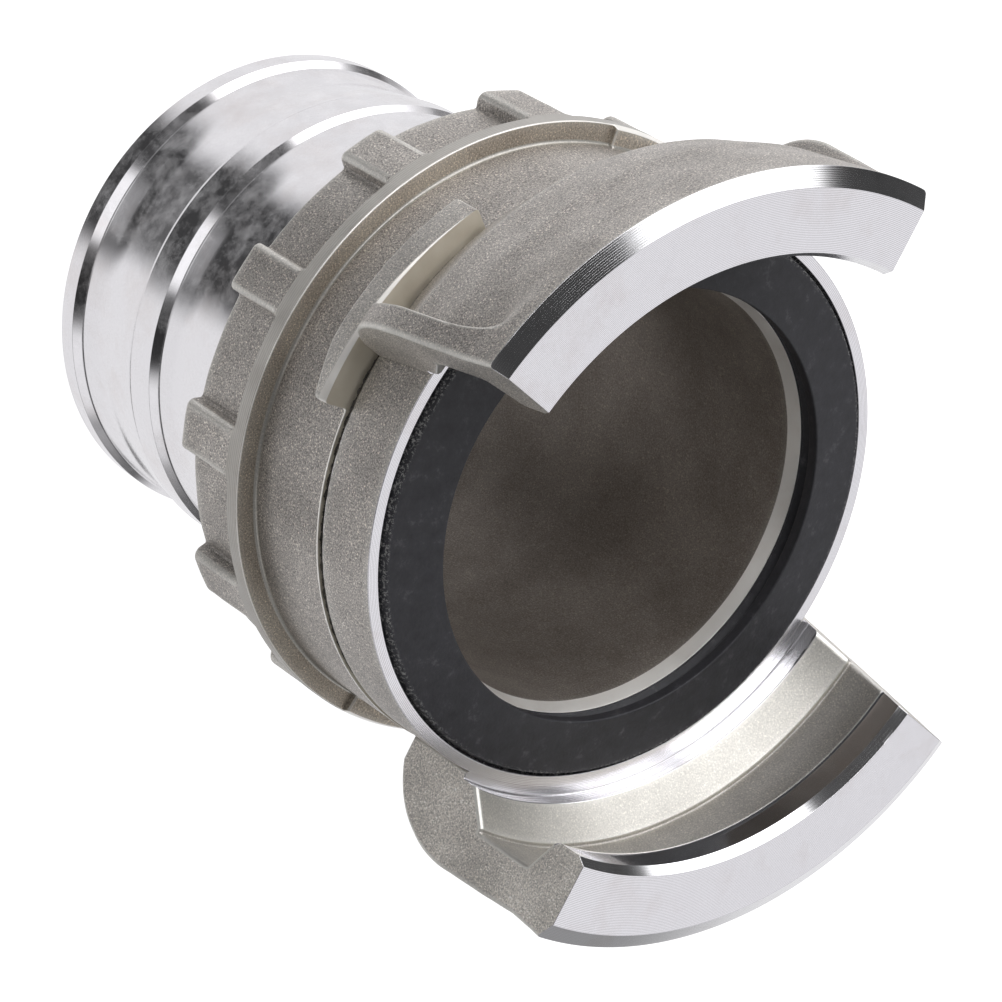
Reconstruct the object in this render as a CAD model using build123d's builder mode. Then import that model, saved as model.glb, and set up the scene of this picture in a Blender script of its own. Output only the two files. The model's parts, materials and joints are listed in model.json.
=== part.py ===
from build123d import *
from math import cos, radians, sin, tan
import os

# Symmetrical two-lug hose coupling half, nominal bore 100, standing on the end of its hose tail.
# Body and tail are one aluminium casting, turned where it seals and where the locking ring runs.
# +Z runs from the hose to the coupling face; the lugs are centred on +X and -X.
# Sizes are in millimetres and degrees.

# Hose tail, from its free end
tail_radius = 50.9              # crest of both lands, for a hose of 102 mm bore
tail_root_depth = 2.0           # deepest point between the two lands
tail_neck_rise = 0.7            # the tail meets the journal this far above its lands
tail_length = 71.9
tail_end_chamfer = 0.8
end_land_width = 5.1
barb_step = 2.9                 # length of the steep side of the end barb
second_land_start = 28.4
second_land_width = 7.1
neck_step = 3.9                 # length of the steep side of the second barb
neck_step_drop = 0.95           # how far the second barb drops

# Waterway, cast straight from the mouth to the end of the tail
tail_wall = 4.3                 # between the waterway and the deepest point of the tail
mouth_chamfer = 2.8             # length of the turned chamfer between the seal seat and the bore
mouth_chamfer_rise = 1.2

# Journal and front band of the body
journal_step = 2.9              # from the neck of the tail up to the journal
journal_chamfer = 1.0
band_step = 6.2                 # from the journal up to the band
band_width = 15.8

# Seal groove and seal
face_width = 2.4                # turned face between the groove and the band
groove_lip_height = 1.4         # straight part of the groove wall behind the face
groove_undercut = 0.8
groove_depth = 3.0
seal_overhang = 0.55            # the seal reaches this far into the bore from its seat
seal_face_play = 1.1            # between the front face of the seal and the groove wall
seal_outer_stand = 1.0          # seal stands this far in front of the face at its outer edge
seal_inner_stand = 2.85         # and this far at its inner edge
seal_lip_thickness = 2.55       # thickness of the free lip at the bore
seal_lip_reach = 2.6            # depth of the pressure groove under the lip
seal_clearance = 0.2

# Hook lugs
lug_angle = 78.2                # width of a lug at its front face
lug_draft = 8.0                 # each end wall leans outwards by this towards the rear
lug_reach = 34.9                # front faces of the lugs stand this far in front of the face
lip_bore_play = 1.6             # the bore of the lip clears the band by this
lip_thickness = 8.6             # along the bore of the lip
lip_slope = 24.0                # clamping face of the lip
lip_inner_bevel = 1.3
lip_inner_bevel_height = 2.0
lip_corner = 1.5                # broken corner at the bore end of the clamping face
channel_depth = 7.2             # from the bore of the lip to the floor of the channel
face_land_width = 1.8           # the turned face runs this far past the band under a lug
land_wall_height = 3.7
shoulder_height = 9.3           # top of the cast cone between the face and the channel
shoulder_step = 0.9             # the cone ends this far inside the channel floor
lug_root_depth = 0.7            # the lug starts this far inside the band
front_bevel_width = 3.6
front_bevel_height = 2.25
lug_wall = 10.4                 # from the channel floor out to the edge of the front bevel
rib_waist_drop = 0.9            # the end ribs are waisted by this behind the bevel
rib_waist_height = 24.4
rib_belly_drop = 0.3
rib_belly_height = 5.0
rib_tail_rise = 5.3             # above the band, where the end ribs run out at its rear plane
rib_thickness = 5.7
panel_front_height = 26.7       # front edge of the recessed panel between the end ribs
panel_front_depth = 2.5         # depths below the edge of the front bevel
panel_middle_height = 8.0
panel_middle_depth = 4.8
panel_crease_height = -3.8
panel_crease_depth = 8.1
panel_rear_rise = 2.7           # above the band, at its rear plane
panel_offset = 3.7              # axis of the panel lies this far towards the stop end of the lug
panel_corner = 2.0

# Locking ring
ring_clearance = 0.3            # radial running clearance on the journal
ring_gap = 0.9                  # play between the ring and the band
ring_overhang = 1.5             # the ring reaches this far behind the journal
skirt_wall = 6.2
skirt_length = 21.7
flange_step = 4.5               # from the skirt out to the flange
flange_width = 3.8
flange_chamfer = 0.5
hub_wall = 7.2
hub_length = 17.1
root_corner = 1.0               # filled corner between the skirt and the flange

# Clamping arcs of the ring
arc_start_angle = 15.5          # trailing end, in the photographed position
arc_angle = 41.3
arc_play = 1.8                  # between the cast top, at the leading end, and a channel floor
arc_drop = 1.2                  # the cast top falls by this to the trailing end
cam_lead = 45.0                 # centre of the cast top lies this far past the leading end
arc_root_depth = 1.0            # the arc starts this far inside the skirt
arc_bevel = 1.2                 # the turned front bevel at the leading end
clamp_slack = 1.7               # axial room at the leading end under the other half's lip
clamp_rise = 1.2                # helical rise of the clamping face over the arc
ramp_run_out = 4.0              # the helix is cut this far past each end of the arc
lead_in_angle = 10.0            # length of the sloping lead-in at the leading end
lead_in_depth = 2.6

# Spanner ribs of the ring
spanner_ribs = 12
spanner_rib_angle = 14.4        # position of the first rib
spanner_rib_width = 10.6
spanner_rib_corner = 1.5        # rounded along the rib
spanner_rib_chamfer = 1.2       # turned on the rear ends of the ribs
rib_root_depth = 2.0            # the rib starts this far inside the hub

# Cast pads on the flange front
pad_angle = 135.5
pad_width_angle = 17.0
pad_height = 1.2

# Retaining wire
wire_width = 3.0                # square section
wire_clearance = 0.15
wire_from_rear = 8.0            # centre of the wire in front of the ring's rear end
wire_gap_angle = 13.0           # the wire ring is open here, so that it can be squeezed in

# Levels along the axis
ring_length = skirt_length + flange_width + hub_length
journal_length = ring_length + ring_gap - ring_overhang
band_rear = tail_length + journal_length
face_level = band_rear + band_width
lug_front = face_level + lug_reach
ring_front = band_rear - ring_gap
ring_rear = ring_front - ring_length
flange_front = ring_front - skirt_length
flange_rear = flange_front - flange_width
wire_level = ring_rear + wire_from_rear
seat_level = face_level - groove_depth

# Cuts reach this far past the faces they cut
cut_reach = 10.0
cut_margin = 1.0

# Radii of the body, from the hose tail outwards
tail_root_radius = tail_radius - tail_root_depth
tail_neck_radius = tail_radius + tail_neck_rise
waterway_radius = tail_root_radius - tail_wall
journal_radius = tail_neck_radius + journal_step
band_radius = journal_radius + band_step
groove_mouth_radius = band_radius - face_width
seat_inner_radius = waterway_radius + mouth_chamfer_rise
seal_inner_radius = seat_inner_radius - seal_overhang
seal_face_radius = groove_mouth_radius - seal_face_play

# Radii of the lugs
face_land_radius = band_radius + face_land_width
lip_bore_radius = band_radius + lip_bore_play
channel_radius = lip_bore_radius + channel_depth
shoulder_radius = channel_radius - shoulder_step
lug_radius = channel_radius + lug_wall
lug_root_radius = band_radius - lug_root_depth
rib_waist_radius = lug_radius - rib_waist_drop
rib_belly_radius = lug_radius - rib_belly_drop
rib_tail_radius = band_radius + rib_tail_rise
panel_front_radius = lug_radius - panel_front_depth
panel_middle_radius = lug_radius - panel_middle_depth
panel_crease_radius = lug_radius - panel_crease_depth
panel_rear_radius = band_radius + panel_rear_rise

# Radii of the locking ring
ring_bore_radius = journal_radius + ring_clearance
skirt_radius = ring_bore_radius + skirt_wall
flange_radius = skirt_radius + flange_step
hub_radius = ring_bore_radius + hub_wall
arc_radius = channel_radius - arc_play
arc_bevel_radius = arc_radius - arc_bevel

# Radii of the retaining wire and its two grooves
wire_groove_radius = journal_radius + wire_width / 2
wire_ring_radius = journal_radius - wire_clearance
journal_groove_radius = journal_radius - wire_width - wire_clearance
wire_groove_half = wire_width / 2 + wire_clearance


def sector(first, width, reach):
    """Pie slice about the axis, from a first angle, counter-clockwise."""
    with BuildSketch() as slice_sketch:
        with BuildLine():
            start = (reach * cos(radians(first)), reach * sin(radians(first)))
            rim = CenterArc((0, 0), reach, first, width)
            Line((0, 0), start)
            Line(rim @ 1, (0, 0))
        make_face()
    return slice_sketch.sketch


def end_wall(side, inset=0.0):
    """Plane of a lug's end wall, side +1 or -1; its normal points into the lug."""
    angle = radians(side * lug_angle / 2)
    lean = radians(lug_draft)
    radial = Vector(cos(angle), sin(angle), 0)
    outward = Vector(-sin(angle), cos(angle), 0) * side
    normal = outward * -cos(lean) + Vector(0, 0, -sin(lean))
    return Plane(Vector(0, 0, lug_front) + normal * inset, x_dir=radial, z_dir=normal)


# Recess between the two end ribs of a lug, about an axis that is set over to one side
clear_radius = lug_radius + cut_reach
with BuildPart() as panel_recess:
    with BuildSketch(Plane.XZ.offset(panel_offset)):
        with BuildLine():
            front_edge = (panel_front_radius, face_level + panel_front_height)
            Polyline(
                front_edge,
                (panel_middle_radius, face_level + panel_middle_height),
                (panel_crease_radius, face_level + panel_crease_height),
                (panel_rear_radius, band_rear),
                (panel_rear_radius, band_rear - band_width),
                (clear_radius, band_rear - band_width),
                (clear_radius, face_level + panel_front_height),
                front_edge,
            )
        make_face()
    revolve(axis=Axis((0, -panel_offset, 0), (0, 0, 1)))
    split(bisect_by=end_wall(1, rib_thickness), keep=Keep.TOP)
    split(bisect_by=end_wall(-1, rib_thickness), keep=Keep.TOP)
    end_edges = panel_recess.edges().filter_by(GeomType.LINE)
    fillet(end_edges.group_by(Axis.Z)[-1], panel_corner)

# One lug, centred on +X: lip, channel and shoulder inside, panel and end ribs outside
lip_rear = lug_front - lip_thickness
hook_level = lip_rear - (channel_radius - lip_bore_radius) * tan(radians(lip_slope))
with BuildPart() as lug:
    with BuildSketch(Plane.XZ) as hook_section:
        with BuildLine():
            Polyline(
                (rib_tail_radius, band_rear),
                (lug_root_radius, band_rear),
                (lug_root_radius, face_level),
                (face_land_radius, face_level),
                (face_land_radius, face_level + land_wall_height),
                (shoulder_radius, face_level + shoulder_height),
                (channel_radius, face_level + shoulder_height),
                (channel_radius, hook_level),
                (lip_bore_radius, lip_rear),
                (lip_bore_radius, lug_front - lip_inner_bevel_height),
                (lip_bore_radius + lip_inner_bevel, lug_front),
                (lug_radius - front_bevel_width, lug_front),
                (lug_radius, lug_front - front_bevel_height),
                (rib_waist_radius, face_level + rib_waist_height),
                (rib_belly_radius, face_level + rib_belly_height),
            )
            belly = (rib_belly_radius, face_level + rib_belly_height)
            TangentArc(belly, (rib_tail_radius, band_rear), tangent=(0, -1))
        make_face()
        chamfer(hook_section.vertices().sort_by_distance((lip_bore_radius, lip_rear))[0], lip_corner)
    revolve(axis=Axis.Z)
    split(bisect_by=end_wall(1), keep=Keep.TOP)
    split(bisect_by=end_wall(-1), keep=Keep.TOP)
    add(panel_recess.part, mode=Mode.SUBTRACT)

# Body: band, journal and hose tail turned about the axis, with the two lugs
with BuildPart() as coupling_body:
    with BuildSketch(Plane.XZ):
        with BuildLine():
            Polyline(
                (waterway_radius, 0),
                (tail_radius - tail_end_chamfer, 0),
                (tail_radius, tail_end_chamfer),
                (tail_radius, end_land_width),
                (tail_root_radius, end_land_width + barb_step),
                (tail_radius, second_land_start),
                (tail_radius, second_land_start + second_land_width),
                (tail_radius - neck_step_drop, second_land_start + second_land_width + neck_step),
                (tail_neck_radius, tail_length),
                (journal_radius - journal_chamfer, tail_length),
                (journal_radius, tail_length + journal_chamfer),
                (journal_radius, wire_level - wire_groove_half),
                (journal_groove_radius, wire_level - wire_groove_half),
                (journal_groove_radius, wire_level + wire_groove_half + ring_gap),
                (journal_radius, wire_level + wire_groove_half + ring_gap),
                (journal_radius, band_rear),
                (band_radius, band_rear),
                (band_radius, face_level),
                (groove_mouth_radius, face_level),
                (groove_mouth_radius, face_level - groove_lip_height),
                (groove_mouth_radius + groove_undercut, face_level - groove_lip_height),
                (groove_mouth_radius + groove_undercut, seat_level),
                (seat_inner_radius, seat_level),
                (waterway_radius, seat_level - mouth_chamfer),
                close=True,
            )
        make_face()
    revolve(axis=Axis.Z)
    add(lug.part)
    add(lug.part.rotate(Axis.Z, 180))
coupling_body.part.label = "coupling_body"

# Face seal: a flat ring with a foot in the undercut and a free lip at the bore
seal_foot_radius = groove_mouth_radius + groove_undercut - seal_clearance
seal_foot_level = face_level - groove_lip_height - seal_clearance
seal_lip_level = face_level + seal_inner_stand - seal_lip_thickness
with BuildPart() as face_seal:
    with BuildSketch(Plane.XZ):
        with BuildLine():
            Polyline(
                (seal_inner_radius, face_level + seal_inner_stand),
                (seal_face_radius, face_level + seal_outer_stand),
                (groove_mouth_radius - seal_clearance, seal_foot_level),
                (seal_foot_radius, seal_foot_level),
                (seal_foot_radius, seat_level),
                (seat_inner_radius + seal_clearance, seat_level),
                (seal_inner_radius + seal_lip_reach, seal_lip_level - seal_lip_reach / 2),
                (seal_inner_radius, seal_lip_level),
                close=True,
            )
        make_face()
    revolve(axis=Axis.Z)
face_seal.part.label = "face_seal"

# One clamping arc: flat turned front, eccentric cast top, rear face a helix with the lip's slope
hook_face_at_arc = lip_rear - (arc_radius - lip_bore_radius) * tan(radians(lip_slope))
clamp_level = 2 * face_level - hook_face_at_arc + clamp_slack
arc_end_angle = arc_start_angle + arc_angle
cam_side = radians(arc_end_angle + cam_lead)
cam_share = cos(radians(cam_lead)) - cos(radians(arc_angle + cam_lead))
cam_offset = arc_drop / cam_share
cam_radius = arc_radius - cam_offset * cos(radians(cam_lead))
arc_root_radius = skirt_radius - arc_root_depth
cut_depth = skirt_length - cut_margin
cut_outer = arc_radius + cut_margin
cut_inner = arc_root_radius - cut_margin
with BuildPart() as clamp_cut:
    with BuildLine() as ramp_line:
        Helix(
            pitch=clamp_rise * 360 / arc_angle,
            height=clamp_rise * (arc_angle + 2 * ramp_run_out) / arc_angle,
            radius=arc_radius,
        )
    with BuildSketch(Plane.XZ):
        with BuildLine():
            Polyline(
                (cut_outer, (cut_outer - arc_radius) * tan(radians(lip_slope))),
                (cut_inner, (cut_inner - arc_radius) * tan(radians(lip_slope))),
                (cut_inner, -cut_depth),
                (cut_outer, -cut_depth),
                close=True,
            )
        make_face()
    sweep(path=ramp_line.line, is_frenet=True)

# Lead-in plane at the leading end, leaning forwards from the clamping face
lead_angle = radians(arc_end_angle - lead_in_angle)
lead_lean = lead_in_depth / (arc_radius * radians(lead_in_angle))
lead_radial = Vector(cos(lead_angle), sin(lead_angle), 0)
lead_tangent = Vector(-sin(lead_angle), cos(lead_angle), 0)
lead_normal = Vector(0, 0, 1) - lead_tangent * lead_lean - lead_radial * tan(radians(lip_slope))
lead_level = clamp_level - clamp_rise * lead_in_angle / arc_angle
lead_in = Plane(lead_radial * arc_radius + Vector(0, 0, lead_level), z_dir=lead_normal)

with BuildPart() as clamping_arc:
    with BuildSketch(Plane.XY.offset(ring_front)):
        with Locations((cam_offset * cos(cam_side), cam_offset * sin(cam_side))):
            Circle(cam_radius)
        Circle(arc_root_radius, mode=Mode.SUBTRACT)
        add(sector(arc_start_angle, arc_angle, clear_radius), mode=Mode.INTERSECT)
    extrude(amount=-cut_depth)
    with BuildSketch(Plane.XZ) as bevel:
        with BuildLine():
            Polyline(
                (arc_bevel_radius, ring_front),
                (arc_bevel_radius + cut_reach, ring_front - cut_reach),
                (arc_bevel_radius + cut_reach, ring_front),
                close=True,
            )
        make_face()
    revolve(axis=Axis.Z, mode=Mode.SUBTRACT)
    start_level = clamp_level - clamp_rise - clamp_rise * ramp_run_out / arc_angle
    turned_cut = clamp_cut.part.rotate(Axis.Z, arc_start_angle - ramp_run_out)
    add(turned_cut.moved(Location((0, 0, start_level))), mode=Mode.SUBTRACT)
    split(bisect_by=lead_in, keep=Keep.TOP)

# One spanner rib, on +X, running from the flange to the rear end of the ring
with BuildPart() as spanner_rib:
    with BuildSketch(Plane.XY.offset(ring_rear)):
        with Locations(((hub_radius - rib_root_depth + flange_radius) / 2, 0)):
            Rectangle(flange_radius - hub_radius + rib_root_depth, spanner_rib_width)
    extrude(amount=hub_length + flange_width / 2)
    outer_edges = spanner_rib.edges().filter_by(Axis.Z).group_by(Axis.X)[-1]
    fillet(outer_edges, spanner_rib_corner)

# Locking ring: skirt, flange and hub with spanner ribs, and two clamping arcs
with BuildPart() as locking_ring:
    with BuildSketch(Plane.XZ) as ring_section:
        with BuildLine():
            Polyline(
                (ring_bore_radius, ring_front),
                (skirt_radius, ring_front),
                (skirt_radius, flange_front),
                (flange_radius - flange_chamfer, flange_front),
                (flange_radius, flange_front - flange_chamfer),
                (flange_radius, flange_rear),
                (hub_radius, flange_rear),
                (hub_radius, ring_rear),
                (ring_bore_radius, ring_rear),
                close=True,
            )
        make_face()
        root = ring_section.vertices().sort_by_distance((skirt_radius, flange_front))[0]
        chamfer(root, root_corner)
    revolve(axis=Axis.Z)
    for index in range(spanner_ribs):
        add(spanner_rib.part.rotate(Axis.Z, spanner_rib_angle + index * 360 / spanner_ribs))
    for turn in (0, 180):
        add(clamping_arc.part.rotate(Axis.Z, turn))
    with BuildSketch(Plane.XY.offset(flange_front)):
        for turn in (0, 180):
            add(sector(pad_angle + turn, pad_width_angle, flange_radius - flange_chamfer))
        Circle(arc_root_radius, mode=Mode.SUBTRACT)
    extrude(amount=pad_height)
    with BuildSketch(Plane.XZ):
        with Locations((ring_bore_radius, wire_level)):
            Rectangle(2 * (wire_groove_radius - ring_bore_radius), 2 * wire_groove_half)
        with BuildLine():
            Polyline(
                (flange_radius, ring_rear),
                (flange_radius, ring_rear + spanner_rib_chamfer),
                (flange_radius - spanner_rib_chamfer, ring_rear),
                close=True,
            )
        make_face()
    revolve(axis=Axis.Z, mode=Mode.SUBTRACT)
locking_ring.part.label = "locking_ring"

# Retaining wire, sprung out into the ring's groove
with BuildPart() as retaining_wire:
    with BuildSketch(Plane.XZ):
        with Locations((wire_ring_radius, wire_level)):
            Rectangle(wire_width, wire_width)
    revolve(axis=Axis.Z, revolution_arc=360 - wire_gap_angle)
retaining_wire.part.label = "retaining_wire"

os.makedirs("parts", exist_ok=True)
export_step(coupling_body.part, "parts/coupling_body.step")
export_step(face_seal.part, "parts/face_seal.step")
export_step(locking_ring.part, "parts/locking_ring.step")
export_step(retaining_wire.part, "parts/retaining_wire.step")
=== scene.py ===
import bpy
import bmesh
import json
import math
import numpy as np
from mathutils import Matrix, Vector, noise


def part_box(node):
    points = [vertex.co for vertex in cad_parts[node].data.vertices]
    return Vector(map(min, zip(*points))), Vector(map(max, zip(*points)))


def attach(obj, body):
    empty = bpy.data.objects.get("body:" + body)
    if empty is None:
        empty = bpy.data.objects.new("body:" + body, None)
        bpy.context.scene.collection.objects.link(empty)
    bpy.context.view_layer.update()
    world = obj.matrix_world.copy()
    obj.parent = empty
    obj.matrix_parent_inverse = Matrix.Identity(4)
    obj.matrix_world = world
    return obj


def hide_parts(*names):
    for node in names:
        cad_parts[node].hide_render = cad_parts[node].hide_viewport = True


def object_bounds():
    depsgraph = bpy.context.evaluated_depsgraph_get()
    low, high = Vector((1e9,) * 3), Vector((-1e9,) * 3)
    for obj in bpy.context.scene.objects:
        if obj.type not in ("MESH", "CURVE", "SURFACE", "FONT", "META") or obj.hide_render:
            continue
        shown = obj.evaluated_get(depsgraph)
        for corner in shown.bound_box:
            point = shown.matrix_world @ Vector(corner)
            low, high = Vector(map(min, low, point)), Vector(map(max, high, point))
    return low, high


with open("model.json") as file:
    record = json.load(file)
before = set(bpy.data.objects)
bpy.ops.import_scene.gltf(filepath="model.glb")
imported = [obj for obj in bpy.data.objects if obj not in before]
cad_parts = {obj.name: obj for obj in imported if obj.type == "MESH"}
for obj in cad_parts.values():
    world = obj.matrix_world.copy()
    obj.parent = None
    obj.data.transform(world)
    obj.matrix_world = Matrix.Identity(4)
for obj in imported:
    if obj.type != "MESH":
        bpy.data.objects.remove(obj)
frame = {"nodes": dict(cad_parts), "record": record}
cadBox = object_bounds()

mm = 0.001
faceLevel = next(m for m in frame["record"]["mounts"] if m["name"] == "coupling_face")["pos_m"][2] / mm
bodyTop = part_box("coupling_body")[1].z / mm
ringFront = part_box("locking_ring")[1].z / mm
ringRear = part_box("locking_ring")[0].z / mm
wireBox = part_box("retaining_wire")
wireLevel = (wireBox[0].z + wireBox[1].z) / 2 / mm
print("frame loaded")


# Outlines. A corner is (radius, level, rounding, finish of the run that follows), in millimetres,
# and a fifth item is the finish of the rounding itself.

cornerSteps = 4         # straight pieces round each corner
runShare = 0.48         # the most that a rounding takes of the run beside it
nearlyStraight = 0.02   # a turn smaller than this counts as none
leastRounding = 0.02
crispRounding = 0.45    # a smaller rounding has the finish of the run that follows
tiny = 1e-6


def cornerArc(before, here, after, rounding):
    # points round one corner, as many for a corner that has closed up
    back, ahead = before - here, after - here
    if rounding <= 0:
        return [here]
    if back.length < tiny or ahead.length < tiny:
        return [here.copy() for k in range(cornerSteps + 1)]
    half = back.angle(ahead) / 2
    reach = min(rounding / max(math.tan(half), tiny), runShare * back.length, runShare * ahead.length)
    start, end = here + back.normalized() * reach, here + ahead.normalized() * reach
    if math.pi / 2 - half < nearlyStraight:
        return [start.lerp(end, k / cornerSteps) for k in range(cornerSteps + 1)]
    radius = reach * math.tan(half)
    centre = here + (back.normalized() + ahead.normalized()).normalized() * radius / math.sin(half)
    first, last = start - centre, end - centre
    sweep = -first.angle_signed(last)
    turn = math.atan2(first.y, first.x)
    turns = [turn + sweep * k / cornerSteps for k in range(cornerSteps + 1)]
    return [centre + Vector((math.cos(t), math.sin(t))) * radius for t in turns]


def outline(corners, runs=None, longest=None):
    # closed and rounded outline as points, the finish after each point, and the pieces in each run,
    # which are counted by their longest length unless runs gives them
    count = len(corners)
    places = [Vector(c[:2]) for c in corners]
    arcs = [cornerArc(places[k - 1], places[k], places[(k + 1) % count], corners[k][2]) for k in range(count)]
    points, kinds, used = [], [], []
    for k in range(count):
        start, end = arcs[k][-1], arcs[(k + 1) % count][0]
        pieces = runs[k] if runs else max(1, math.ceil((end - start).length / longest))
        used.append(pieces)
        points += arcs[k] + [start.lerp(end, n / pieces) for n in range(1, pieces)]
        arcKind = corners[k][3] if corners[k][2] < crispRounding else corners[k - 1][3]
        if len(corners[k]) > 4:
            arcKind = corners[k][4]
        kinds += [arcKind] * (len(arcs[k]) - 1) + [corners[k][3]] * pieces
    return np.array([tuple(p) for p in points]), kinds, used


def insetCorners(corners, depths):
    # every run moved into the metal by the depth of its finish, corners where the moved runs meet
    count = len(corners)
    places = [Vector(c[:2]) for c in corners]
    moved = []
    for k in range(count):
        here = places[k]
        runs = ((places[k - 1], here, corners[k - 1][3]), (here, places[(k + 1) % count], corners[k][3]))
        lines = []
        for start, end, kind in runs:
            along = (end - start).normalized()
            lines.append((along, Vector((-along.y, along.x)) * depths[kind]))
        (before, first), (after, second) = lines
        turn = before.x * after.y - before.y * after.x
        if abs(turn) < nearlyStraight:
            shift = (first + second) / 2
        else:
            gap = second - first
            shift = first + before * ((gap.x * after.y - gap.y * after.x) / turn)
        deep = max(depths[corners[k - 1][3]], depths[corners[k][3]])
        rounding = corners[k][2]
        if rounding > 0:
            rounding = max(rounding - deep, leastRounding) if turn > 0 else rounding + deep
        moved.append((here.x + shift.x, here.y + shift.y, rounding, corners[k][3]))
    return moved


def turnAbout(points, columns):
    # the outline turned about the axis, as columns by rows by xyz
    turns = np.linspace(0, 2 * math.pi, columns, endpoint=False)[:, None]
    return np.stack([np.cos(turns) * points[:, 0], np.sin(turns) * points[:, 0],
                     np.ones_like(turns) * points[:, 1]], axis=2)


def gridMesh(name, places, kinds, around=True, caps=None):
    # places: columns by rows by xyz in millimetres; rows close on themselves, columns too if around
    columns, rows = places.shape[:2]
    slots = list(dict.fromkeys(kinds))
    faces, slotOfFace = [], []
    for c in range(columns if around else columns - 1):
        d = (c + 1) % columns
        for r in range(rows):
            s = (r + 1) % rows
            faces.append((c * rows + r, d * rows + r, d * rows + s, c * rows + s))
            slotOfFace.append(slots.index(kinds[r]))
    if caps:
        if caps not in slots:
            slots.append(caps)
        faces += [tuple(range(rows)), tuple((columns - 1) * rows + r for r in reversed(range(rows)))]
        slotOfFace += [slots.index(caps)] * 2
    mesh = bpy.data.meshes.new(name)
    mesh.from_pydata((places.reshape(-1, 3) * mm).tolist(), [], faces)
    mesh.polygons.foreach_set("material_index", slotOfFace)
    for kind in slots:
        mesh.materials.append(finishes[kind])
    shape = bmesh.new()
    shape.from_mesh(mesh)
    bmesh.ops.recalc_face_normals(shape, faces=shape.faces)
    shape.to_mesh(mesh)
    shape.free()
    mesh.update()
    piece = bpy.data.objects.new(name, mesh)
    bpy.context.scene.collection.objects.link(piece)
    return piece


# curvature settings for the edge attribute: wear and painted highlight on outer edges, painted shade in inner
# corners
edgeWearAndShade = {"closedUp": 1e-3, "shortest": 0.3, "gain": 1.1, "spread": 0.5}


def markEdges(piece, columns, rows, around=True):
    # edge attribute: up to 1 on outer edges and corners, which are rubbed bright as wear and painted
    # highlight, down to -1 in inner ones, which are darkened as painted shade
    d = edgeWearAndShade
    mesh = piece.data
    flat = np.zeros(columns * rows * 3)
    mesh.vertices.foreach_get("co", flat)
    places = flat.reshape(columns, rows, 3) / mm
    mesh.vertex_normals.foreach_get("vector", flat)
    normals = flat.reshape(columns, rows, 3)
    bends = []
    for axis in (0, 1):
        ahead, back = np.roll(places, -1, axis) - places, np.roll(places, 1, axis) - places
        if axis == 0 and not around:
            ahead[-1], back[0] = 0, 0
        far, near = np.linalg.norm(ahead, axis=2), np.linalg.norm(back, axis=2)
        pull = ahead / np.maximum(far, d["closedUp"])[..., None]
        pull = pull + back / np.maximum(near, d["closedUp"])[..., None]
        bends.append(-2 * (pull * normals).sum(2) / np.maximum(far + near, d["shortest"]))
    bend = np.where(abs(bends[0]) > abs(bends[1]), bends[0], bends[1])
    wearAndShade = np.clip(bend * d["gain"], -1, 1)
    beside = d["spread"] * np.roll(wearAndShade, 1, 1) + d["spread"] * np.roll(wearAndShade, -1, 1)
    wearAndShade = (wearAndShade + beside) / (1 + 2 * d["spread"])
    mesh.attributes.new("wearAndShade", "FLOAT", "POINT").data.foreach_set("value", wearAndShade.ravel())


castSkin = {
    "height": 0.1, "fineHeight": 0.5, "fineSize": 0.4,
    "bodyWave": 9.0, "lugWave": 8.0, "ringWave": 8.0,
}


def roughen(piece, names, size, seed):
    # moves the vertices of cast surfaces in and out a little, as a sand mould leaves them
    d = castSkin
    mesh = piece.data
    cast = {k for k, m in enumerate(mesh.materials) if m.name in names}
    held = set()
    for face in mesh.polygons:
        if face.material_index not in cast:
            held.update(face.vertices)
    flat = np.zeros(len(mesh.vertices) * 3)
    mesh.vertices.foreach_get("co", flat)
    places = flat.reshape(-1, 3).copy()
    mesh.vertex_normals.foreach_get("vector", flat)
    normals = flat.reshape(-1, 3)
    shift = Vector((seed, 0.0, 0.0))
    for k, (place, normal) in enumerate(zip(places, normals)):
        if k not in held:
            here = Vector(place)
            coarse = noise.noise(here / (size * mm) + shift)
            fine = noise.noise(here / (size * d["fineSize"] * mm) + shift)
            place += normal * (coarse + d["fineHeight"] * fine) * d["height"] * mm
    mesh.vertices.foreach_set("co", places.ravel())
    mesh.update()


def settle(piece):
    # what the modifiers make becomes the piece's own mesh
    plain = bpy.data.meshes.new_from_object(piece.evaluated_get(bpy.context.evaluated_depsgraph_get()))
    piece.modifiers.clear()
    piece.data = plain
    return plain


creaseAngle = 28.0      # an edge that turns further stays crisp


def dress(piece, body, node):
    # smooth shading with crisp edges, then the frame's calls
    piece.data.shade_smooth()
    piece.data.set_sharp_from_angle(angle=math.radians(creaseAngle))
    weighted = piece.modifiers.new("weighted", "WEIGHTED_NORMAL")
    weighted.keep_sharp = True
    settle(piece).name = piece.name
    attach(piece, body)
    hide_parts(node)


# Materials

def newMaterial(name):
    material = bpy.data.materials.new(name)
    material.use_nodes = True
    tree = material.node_tree
    shader = tree.nodes["Principled BSDF"]
    return material, tree, shader


def add(tree, kind, **values):
    # a new node; each value is a property of the node or else a socket's
    node = tree.nodes.new(kind)
    for key, value in values.items():
        if key in node.bl_rna.properties:
            setattr(node, key, value)
        else:
            node.inputs[key].default_value = value
    return node


def ramp(tree, source, stops):
    node = tree.nodes.new("ShaderNodeValToRGB")
    elements = node.color_ramp.elements
    while len(elements) < len(stops):
        elements.new(0.5)
    for element, (place, colour) in zip(elements, stops):
        element.position = place
        element.color = (*colour, 1.0)
    tree.links.new(source, node.inputs["Fac"])
    return node.outputs["Color"]


def fade(tree, source, low, high):
    return ramp(tree, source, [(low, (0, 0, 0)), (high, (1, 1, 1))])


def smoothStep(tree, value, low, high):
    node = add(tree, "ShaderNodeMapRange", interpolation_type="SMOOTHSTEP")
    node.inputs["From Min"].default_value = low
    node.inputs["From Max"].default_value = high
    tree.links.new(value, node.inputs["Value"])
    return node.outputs["Result"]


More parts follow.
